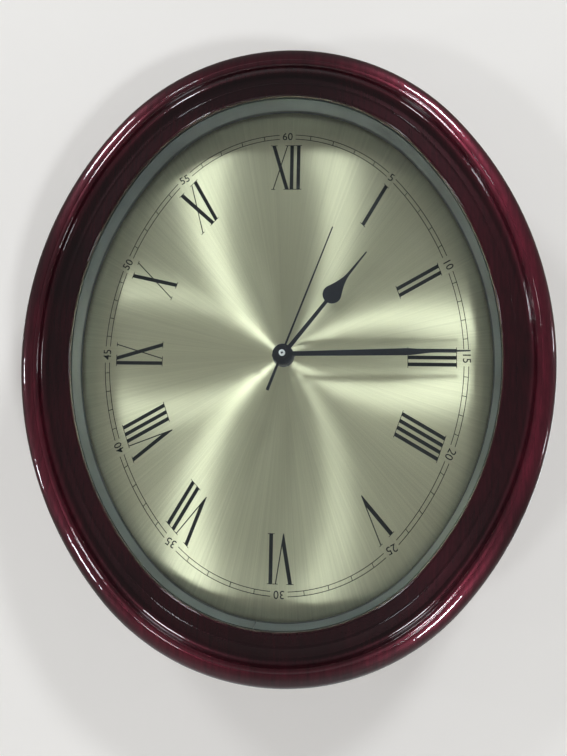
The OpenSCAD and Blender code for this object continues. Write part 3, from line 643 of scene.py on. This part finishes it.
def buildTrack():
    parts = []

    def halfGap(sector):
        return track["narrowGap"] if sector % 12 == 1 else track["gap"]

    for sector in range(12):
        for inset in (track["outer"], track["inner"]):
            start, end = sector * quarter / 3, (sector + 1) * quarter / 3
            start += halfGap(sector) / rayToOval(start, inset)[0]
            end -= halfGap(sector + 1) / rayToOval(end, inset)[0]
            first, last = rayToOval(end, inset)[1], rayToOval(start, inset)[1]
            parts.append(trackLine(inset, first, last if last > first else last + 4 * quarter))
    half = track["line"] / 2
    tick = drawSheet("tick", [(-half, 0), (half, 0), (half, 1), (-half, 1)], inkFace, ink["thickness"])
    for minute in range(60):
        if minute % 5:
            ray = minute * quarter / 15
            low, high = rayToOval(ray, track["inner"])[0], rayToOval(ray, track["outer"])[0]
            stretch = Matrix.Diagonal((1, 1, high - low, 1))
            parts.append(copyTo(tick, rayPlace(ray, low) @ stretch))
    bpy.data.objects.remove(tick)
    return joinPieces("minuteTrack", parts)


def buildTrackNumber(minute):
    ray = minute * quarter / 15
    outer, inner = (rayToOval(ray, track[edge])[0] for edge in ("outer", "inner"))
    distance = (outer + inner) / 2 + track["numberOut"]
    deselectAll()
    bpy.ops.object.text_add(location=(0, 0, 0), rotation=(quarter, 0, 0))
    number = bpy.context.active_object
    number.name = "number%02d" % minute
    number.data.body = str(minute)
    number.data.size = track["fontSize"]
    number.data.align_x = "CENTER"
    number.data.extrude = ink["thickness"] / 2
    number.data.offset = track["fontWeight"]
    number.data.resolution_u = 3
    bpy.ops.object.convert(target="MESH")
    applyPlace(number)
    middle = Matrix.Translation((0, inkFace + ink["thickness"] / 2, -track["numberHeight"] / 2))
    number.data.transform(rayPlace(ray, distance) @ middle)
    bpy.ops.object.mode_set(mode="EDIT")
    closeSkin()
    return number


minuteTrack = buildTrack()
onBody(minuteTrack, "case_body", inkBlack, "hand_black")
for minute in range(5, 65, 5):
    onBody(buildTrackNumber(minute), "case_body", inkBlack, "hand_black")
print("minute track is printed")


# Dial: thin aluminium, brushed from its middle outwards, under a pale gold lacquer
brushing = {
    "colours": ((0.60, 0.575, 0.40), (0.74, 0.715, 0.52)),
    "rays": (95, 9),  # scale of the fine ones, and of the broad ones that paint sheen into the colour
    "depth": 0.0012 * mm,
    "roughness": (0.34, 0.40),
}


def sunrayDial():
    dial = Recipe("sunrayDial", Metallic=0.94, Roughness=0.37, Anisotropic=1.0, Coat_Weight=0.35,
        Coat_Roughness=0.22, Coat_Tint=(1.0, 0.98, 0.88, 1))
    spot = dial.place()
    parts = dial.add("SeparateXYZ", {0: spot}).outputs
    down = dial.add("Math", {0: parts["X"], 1: -1.0}, operation="MULTIPLY").outputs[0]
    across = dial.add("CombineXYZ", {"X": parts["Z"], "Z": down}).outputs[0]
    along = dial.add("VectorMath", {0: across}, operation="NORMALIZE").outputs["Vector"]
    spoke = dial.add("CombineXYZ", {"X": parts["X"], "Z": parts["Z"]}).outputs[0]
    ray = dial.add("VectorMath", {0: spoke}, operation="NORMALIZE").outputs["Vector"]
    fine = dial.noise(brushing["rays"][0], 5, ray, 0.7)
    sheenFans = dial.noise(brushing["rays"][1], 2, ray)
    colour = dial.blend(fine, *brushing["colours"])
    dial.squeeze(colour, 0.3, 0.7)
    # Painted sheen: broad fans round the middle lighten and darken the colour a little, besides the brushed
    # reflection of the lamps
    shade = dial.between(sheenFans, 0.94, 1.06)
    sheen = dial.add("VectorMath", {0: colour, 1: shade}, operation="MULTIPLY").outputs["Vector"]
    return dial.feed(Base_Color=sheen, Tangent=along, Normal=dial.bump(fine, brushing["depth"]),
        Roughness=dial.between(fine, *brushing["roughness"]))


def flatGlass():
    pane = Recipe("flatGlass", Base_Color=(0.975, 0.995, 0.985, 1), Transmission_Weight=1.0, IOR=1.5)
    smear = pane.between(pane.noise(38, 4), 0.0, 0.012)
    pane.feed(Roughness=smear)
    lampRay = pane.add("LightPath").outputs["Is Shadow Ray"]
    clear = pane.add("BsdfTransparent", {"Color": (0.96, 0.975, 0.965, 1)}).outputs[0]
    pick = pane.add("MixShader", {0: lampRay, 1: pane.shader.outputs[0], 2: clear})
    pane.links.new(pick.outputs[0], pane.output.inputs["Surface"])
    return pane.material


# Grey-green strip, with painted shade along the foot where it stands on the dial, and dull there
band = {
    "colours": ((0.046, 0.054, 0.058), (0.065, 0.076, 0.081)),
    "foot": (3.4 * mm, 2.7 * mm),  # over the dial, where the painted shade starts and where it is darkest
    "paintedShadeLevel": 0.12,
}


def satinStrip():
    strip = Recipe("satinStrip", Roughness=0.38, Specular_IOR_Level=0.45)
    cloud = strip.noise(55, 3)
    colour = strip.blend(cloud, *band["colours"])
    strip.squeeze(colour, 0.3, 0.7)
    # Painted shade: the colour darkens towards the foot, where the strip meets the dial
    depth = strip.add("SeparateXYZ", {0: strip.place()}).outputs["Y"]
    start, end = (dialFace - height for height in band["foot"])
    foot = strip.add("MapRange", {"Value": depth, "From Min": start, "From Max": end, "To Min": 1.0,
        "To Max": band["paintedShadeLevel"]}).outputs["Result"]
    shade = strip.add("VectorMath", {0: colour, 1: foot}, operation="MULTIPLY").outputs["Vector"]
    drawn = strip.noise(1, 3, strip.place((60, 2600, 60)))
    smoothness = strip.between(drawn, 0.62, 0.46)
    sheen = strip.add("Math", {0: foot, 1: smoothness}, operation="MULTIPLY").outputs[0]
    rough = strip.add("Math", {0: 0.92, 1: sheen}, operation="SUBTRACT").outputs[0]
    return strip.feed(Base_Color=shade, Roughness=rough, Normal=strip.bump(drawn, 0.006 * mm))


# The grain's depth is in mm
def mouldedPlastic(name, colour, rough, depth, grain=2400):
    part = Recipe(name, Specular_IOR_Level=0.4)
    speck = part.noise(grain, 3)
    tint = part.blend(part.noise(160, 3), tinted(colour, 0.82), tinted(colour, 1.16))
    return part.feed(Base_Color=tint, Roughness=part.between(speck, rough - 0.07, rough + 0.07),
        Normal=part.bump(speck, depth * mm))


def platedMetal(name, colour, rough, stretch=(1, 1, 1)):
    part = Recipe(name, Metallic=1.0)
    brushed = part.noise(420, 4, part.place(stretch), 0.6)
    tint = part.blend(part.noise(70, 3), tinted(colour, 0.8), tinted(colour, 1.12))
    return part.feed(Base_Color=tint, Roughness=part.between(brushed, rough - 0.09, rough + 0.1),
        Normal=part.bump(brushed, 0.003 * mm))


# Metal turned about an axis along Y, so that its marks run round it
def turnedMetal(name, colour, rough):
    part = Recipe(name, Metallic=1.0)
    rings = part.noise(1, 4, part.place((40, 9000, 40)), 0.6)
    tint = part.blend(part.noise(120, 2), tinted(colour, 0.8), tinted(colour, 1.15))
    return part.feed(Base_Color=tint, Roughness=part.between(rings, rough - 0.08, rough + 0.1),
        Normal=part.bump(rings, 0.004 * mm))


def hardboard():
    board = Recipe("hardboard", Roughness=0.72, Specular_IOR_Level=0.25)
    fibres = board.noise(1, 7, board.place((700, 700, 260)), 0.75)
    colour = board.blend(fibres, (0.085, 0.046, 0.024), (0.235, 0.140, 0.075))
    board.squeeze(colour, 0.32, 0.7)
    mottle = board.between(board.noise(45, 4), 0.8, 1.15)
    shade = board.add("VectorMath", {0: colour, 1: mottle}, operation="MULTIPLY").outputs["Vector"]
    return board.feed(Base_Color=shade, Normal=board.bump(fibres, 0.05 * mm))


# Enamelled wire, wound turn beside turn along the coil
def woundWire():
    wire = Recipe("woundWire", Metallic=0.85, Roughness=0.3, Coat_Weight=0.5, Coat_Roughness=0.1)
    turns = wire.add("TexWave", {"Vector": wire.place(), "Scale": 1300.0, "Distortion": 0.6},
        wave_type="BANDS", bands_direction="Z").outputs["Fac"]
    colour = wire.blend(turns, (0.20, 0.055, 0.018), (0.62, 0.24, 0.095))
    return wire.feed(Base_Color=colour, Normal=wire.bump(turns, 0.03 * mm))


# Solder resist over copper tracks
def circuitCard():
    card = Recipe("circuitCard", Roughness=0.35, Coat_Weight=0.4, Coat_Roughness=0.2)
    bricks = card.add("TexBrick", {"Vector": card.place(), "Scale": 260.0, "Mortar Size": 0.12,
        "Color1": (0.018, 0.115, 0.040, 1), "Color2": (0.026, 0.150, 0.055, 1),
        "Mortar": (0.040, 0.215, 0.085, 1)})
    return card.feed(Base_Color=bricks.outputs["Color"], Normal=card.bump(bricks.outputs["Fac"], 0.02 * mm))


# Printed sleeve of the cell: a dark body, a copper-coloured shoulder and a thin pale ring, with bare ends
def cellSleeve():
    cell = Recipe("cellSleeve", Roughness=0.3, Coat_Weight=0.6, Coat_Roughness=0.12)
    low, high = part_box("battery")
    along = cell.add("SeparateXYZ", {0: cell.place()}).outputs["X"]
    share = cell.add("MapRange", {"Value": along, "From Min": low[0], "From Max": high[0]}).outputs["Result"]
    ramp = cell.add("ValToRGB", {"Fac": share})
    ramp.color_ramp.interpolation = "CONSTANT"
    bands = [(0.0, (0.62, 0.62, 0.60)), (0.012, (0.018, 0.030, 0.042)), (0.66, (0.70, 0.70, 0.66)),
        (0.68, (0.50, 0.225, 0.085)), (0.962, (0.66, 0.66, 0.64))]
    stops = ramp.color_ramp.elements
    stops[0].position, stops[0].color = bands[0][0], (*bands[0][1], 1)
    stops[1].position, stops[1].color = bands[1][0], (*bands[1][1], 1)
    for at, colour in bands[2:]:
        stops.new(at).color = (*colour, 1)
    bare = cell.add("ValToRGB", {"Fac": share})
    bare.color_ramp.interpolation = "CONSTANT"
    bare.color_ramp.elements[0].color = (1, 1, 1, 1)
    bare.color_ramp.elements[1].position = 0.012
    bare.color_ramp.elements[1].color = (0.15, 0.15, 0.15, 1)
    bare.color_ramp.elements.new(0.962).color = (1, 1, 1, 1)
    scuff = cell.noise(500, 4)
    return cell.feed(Base_Color=ramp.outputs["Color"], Metallic=bare.outputs["Color"],
        Roughness=cell.between(scuff, 0.22, 0.42), Normal=cell.bump(scuff, 0.004 * mm))


handPaint = {"colours": ((0.0040, 0.0050, 0.0075), (0.0095, 0.0115, 0.0170))}


def blackLacquer():
    hand = Recipe("blackLacquer", Roughness=0.34, Specular_IOR_Level=0.32, Coat_Weight=0.12,
        Coat_Roughness=0.2)
    peel = hand.noise(1500, 3)
    colour = hand.blend(hand.noise(300, 3), *handPaint["colours"])
    return hand.feed(Base_Color=colour, Roughness=hand.between(peel, 0.26, 0.38),
        Normal=hand.bump(peel, 0.003 * mm))


finishes = {
    "pane": flatGlass(),
    "band_plastic": satinStrip(),
    "dial_sheet": sunrayDial(),
    "hardboard": hardboard(),
    "zinc_steel": platedMetal("zincPlate", (0.60, 0.62, 0.64), 0.34, (1, 1, 6)),
    "screw_steel": platedMetal("yellowZinc", (0.66, 0.56, 0.30), 0.3),
    "case_plastic": mouldedPlastic("sparkedPlastic", (0.016, 0.016, 0.018), 0.5, 0.018, 3200),
    "washer_rubber": mouldedPlastic("rubber", (0.018, 0.018, 0.018), 0.75, 0.01),
    "bushing_brass": turnedMetal("turnedBrass", (0.70, 0.50, 0.20), 0.25),
    "blackened_brass": turnedMetal("blackenedBrass", (0.155, 0.155, 0.160), 0.34),
    "plate_plastic": mouldedPlastic("ivoryPlastic", (0.68, 0.64, 0.52), 0.42, 0.006),
    "stator_iron": platedMetal("stampedIron", (0.36, 0.38, 0.40), 0.4, (1, 1, 5)),
    "copper_wire": woundWire(),
    "board_green": circuitCard(),
    "chip_resin": mouldedPlastic("castResin", (0.012, 0.012, 0.012), 0.4, 0.004),
    "crystal_can": platedMetal("drawnCan", (0.66, 0.67, 0.67), 0.24, (8, 1, 1)),
    "cell_can": cellSleeve(),
    "contact_steel": platedMetal("nickelStrip", (0.66, 0.65, 0.61), 0.26, (1, 1, 4)),
    "magnet_ferrite": mouldedPlastic("sinteredFerrite", (0.050, 0.050, 0.056), 0.55, 0.008),
    "wheel_plastic": mouldedPlastic("whitePlastic", (0.72, 0.71, 0.64), 0.38, 0.004),
    "arbor_steel": turnedMetal("groundSteel", (0.56, 0.57, 0.59), 0.2),
    "wheel_brass": turnedMetal("satinBrass", (0.70, 0.51, 0.20), 0.3),
    "knob_plastic": mouldedPlastic("knobPlastic", (0.024, 0.024, 0.027), 0.42, 0.01),
    "hand_black": blackLacquer(),
    "collet_brass": turnedMetal("darkCollet", (0.085, 0.075, 0.062), 0.36),
    "tube_bright": turnedMetal("brightTube", (0.95, 0.95, 0.93), 0.4),
}
for part in frame["record"]["subparts"]:
    finish = finishes.get(part["material_slot"])
    if finish:
        mesh = frame["nodes"][part["node"]].data
        mesh.materials.clear()
        mesh.materials.append(finish)


# Edge radius of each node that keeps its own mesh
edges = {
    "hour_hand": 0.1 * mm,
    "minute_hand": 0.1 * mm,
    "second_hand": 0.06 * mm,
    "fixing_nut": 0.3 * mm,
    "nut_washer": 0.1 * mm,
    "hour_collet": 0.15 * mm,
    "minute_collet": 0.15 * mm,
    "second_tube": 0.15 * mm,
    "movement_case": 0.35 * mm,
    "movement_cover": 0.3 * mm,
    "setting_knob": 0.2 * mm,
    "backing_board": 0.3 * mm,
    "retaining_clips": 0.15 * mm,
    "hanger_plate": 0.2 * mm,
    "battery": 0.3 * mm,
    "train_plate": 0.12 * mm,
    "coil_bobbin": 0.12 * mm,
    "stator": 0.08 * mm,
    "ic_chip": 0.1 * mm,
}


softening = {"merge": 0.002 * mm, "segments": 2, "sharpTurn": 38}


def softenEdges(piece, radius):
    piece.modifiers.new("weld", "WELD").merge_threshold = softening["merge"]
    bevel = piece.modifiers.new("bevel", "BEVEL")
    bevel.width = radius
    bevel.segments = softening["segments"]
    bevel.limit_method = "ANGLE"
    bevel.angle_limit = math.radians(softening["sharpTurn"])
    bevel.harden_normals = True


for node, radius in edges.items():
    softenEdges(frame["nodes"][node], radius)
print("CAD nodes are finished")


# Studio: a pale wall seen from in front, a pale floor, soft lamps and a dim sky
studio = {
    "wall": {
        "colour": (0.86, 0.80, 0.75),
        "gap": 0.2 * mm,
        "hole": 0.9,  # against the frame's outline
        "sides": 96,
        "reach": 14,
        "glow": 0.12,
        "inGloss": 0.1,
    },
    "floor": {"colour": (0.74, 0.73, 0.71), "height": -1.3, "size": 6.0, "glow": 0.55, "inGloss": 0.1},
    "sky": {
        "strength": 0.165,
        "colour": (0.97, 0.99, 1.0),
        "behind": (0.085, 0.065, 0.055),
        "turnsAt": (0.45, 0.6),
        "seen": (0.9, 0.9, 0.89),
    },
    "lampDistance": 1.5,
    "lamps": {  # clockwise from twelve, angle off the dial's axis, width along the turn, height, power
        "lampLowerRight": (142, 44.5, 0.28, 0.14, 7.2),
        "lampUpperRight": (27.5, 57.5, 0.34, 0.16, 8.8),
        "lampLowerLeft": (237, 52, 0.24, 0.14, 3.8),
        "lampUpperLeft": (317.5, 62.5, 0.32, 0.16, 6.3),
        "lampRight": (80, 84, 0.14, 0.08, 1.0),
        "lampRightLow": (100, 84, 0.12, 0.08, 0.9),
        "lampLeft": (254, 76, 0.12, 0.08, 1.2),
        "lampLeftUp": (273, 76, 0.12, 0.08, 1.2),
    },
    "lampColour": (0.87, 0.945, 1.0),
    "rearLamps": {"rearLeft": ((-0.45, 1.5, 0.3), 12.0), "rearRight": ((0.5, 1.5, -0.05), 8.5)},
    "rearSize": (1.0, 0.8),
}


def paleSurface(name, colour):
    recipe = Recipe(name, Roughness=0.9, Specular_IOR_Level=0.1)
    tint = recipe.blend(recipe.noise(6, 4), tinted(colour, 0.97), tinted(colour, 1.03))
    recipe.feed(Base_Color=tint)
    return recipe


# How much of a surface the camera, glass and gloss see
def sightShare(recipe, inGloss):
    rays = recipe.add("LightPath").outputs
    gloss = recipe.add("Math", {0: rays["Is Glossy Ray"], 1: inGloss}, operation="MULTIPLY").outputs[0]
    seen = recipe.add("Math", {0: rays["Is Camera Ray"], 1: rays["Is Transmission Ray"]}, operation="MAXIMUM")
    return recipe.add("Math", {0: seen.outputs[0], 1: gloss}, operation="MAXIMUM").outputs[0]


# Clear from behind, and clear to what lights the object; open behind the clock, so that its back is lit
def addWall():
    values = studio["wall"]
    deselectAll()
    bpy.ops.mesh.primitive_circle_add(vertices=values["sides"], radius=1, location=(0, values["gap"], 0),
        rotation=(quarter, 0, 0))
    wall = bpy.context.active_object
    wall.name = "wall"
    wall.scale = (halfWidth * values["hole"], halfHeight * values["hole"], 1)
    applyPlace(wall)
    bpy.ops.object.mode_set(mode="EDIT")
    bpy.ops.mesh.select_all(action="SELECT")
    bpy.ops.mesh.extrude_region_move()
    bpy.ops.transform.resize(value=(values["reach"], 1, values["reach"]))
    bpy.ops.mesh.select_all(action="SELECT")
    bpy.ops.mesh.normals_make_consistent(inside=False)
    bpy.ops.object.mode_set(mode="OBJECT")
    if wall.data.polygons[0].normal.y > 0:
        wall.data.flip_normals()
    recipe = paleSurface("paleWall", values["colour"])
    recipe.shader.inputs["Emission Color"].default_value = (*values["colour"], 1)
    recipe.shader.inputs["Emission Strength"].default_value = values["glow"]
    behind = recipe.add("NewGeometry").outputs["Backfacing"]
    seen = sightShare(recipe, values["inGloss"])
    shown = recipe.add("Math", {0: seen, 1: behind}, operation="SUBTRACT", use_clamp=True).outputs[0]
    clear = recipe.add("BsdfTransparent").outputs[0]
    pick = recipe.add("MixShader", {0: shown, 1: clear, 2: recipe.shader.outputs[0]})
    recipe.links.new(pick.outputs[0], recipe.output.inputs["Surface"])
    wall.data.materials.append(recipe.material)


def addFloor():
    values = studio["floor"]
    deselectAll()
    bpy.ops.mesh.primitive_plane_add(size=values["size"], location=(0, 0, values["height"]))
    floor = bpy.context.active_object
    floor.name = "floor"
    recipe = paleSurface("paleFloor", values["colour"])
    recipe.shader.inputs["Emission Color"].default_value = (*values["colour"], 1)
    seen = sightShare(recipe, values["inGloss"])
    glow = recipe.add("Math", {0: seen, 1: values["glow"]}, operation="MULTIPLY").outputs[0]
    recipe.feed(Emission_Strength=glow)
    floor.data.materials.append(recipe.material)


# Its width lies along this direction
def addLamp(name, place, aim, along, width, height, power):
    data = bpy.data.lights.new(name, "AREA")
    data.shape = "ELLIPSE"
    data.size = width
    data.size_y = height
    data.energy = power
    data.color = studio["lampColour"]
    lamp = bpy.data.objects.new(name, data)
    bpy.context.scene.collection.objects.link(lamp)
    back = (Vector(place) - Vector(aim)).normalized()
    upward = back.cross(Vector(along)).normalized()
    turned = Matrix((upward.cross(back), upward, back)).transposed().to_4x4()
    lamp.matrix_world = Matrix.Translation(place) @ turned


def addLamps():
    middle = Vector((0, dialFace, 0))
    for name, (clock, tilt, width, height, power) in studio["lamps"].items():
        clock, tilt = math.radians(clock), math.radians(tilt)
        way = Vector((math.sin(clock) * math.sin(tilt), -math.cos(tilt), math.cos(clock) * math.sin(tilt)))
        along = (math.cos(clock), 0, -math.sin(clock))
        addLamp(name, middle + way * studio["lampDistance"], middle, along, width, height, power)
    for name, (place, power) in studio["rearLamps"].items():
        addLamp(name, place, (0, 0, 0), (1, 0, 0), *studio["rearSize"], power)


def addSky():
    values = studio["sky"]
    sky = bpy.data.worlds.new("sky")
    sky.use_nodes = True
    nodes, links = sky.node_tree.nodes, sky.node_tree.links
    glow = nodes["Background"]
    ray = nodes.new("ShaderNodeTexCoord").outputs["Generated"]
    parts = nodes.new("ShaderNodeSeparateXYZ")
    links.new(ray, parts.inputs[0])
    ramp = nodes.new("ShaderNodeValToRGB")
    ramp.color_ramp.elements[0].position, ramp.color_ramp.elements[1].position = values["turnsAt"]
    ramp.color_ramp.elements[0].color = (*tinted(values["colour"], values["strength"]), 1)
    ramp.color_ramp.elements[1].color = (*values["behind"], 1)
    behind = nodes.new("ShaderNodeMapRange")
    behind.inputs["From Min"].default_value = -1
    links.new(parts.outputs["Y"], behind.inputs["Value"])
    links.new(behind.outputs["Result"], ramp.inputs["Fac"])
    links.new(ramp.outputs["Color"], glow.inputs["Color"])
    pale = nodes.new("ShaderNodeBackground")
    pale.inputs["Color"].default_value = (*values["seen"], 1)
    seen = nodes.new("ShaderNodeLightPath").outputs["Is Camera Ray"]
    pick = nodes.new("ShaderNodeMixShader")
    links.new(seen, pick.inputs[0])
    links.new(glow.outputs[0], pick.inputs[1])
    links.new(pale.outputs[0], pick.inputs[2])
    links.new(pick.outputs[0], nodes["World Output"].inputs["Surface"])
    bpy.context.scene.world = sky


addWall()
addFloor()
addLamps()
addSky()
bpy.context.scene.view_settings.view_transform = "Standard"
print("studio is lit")
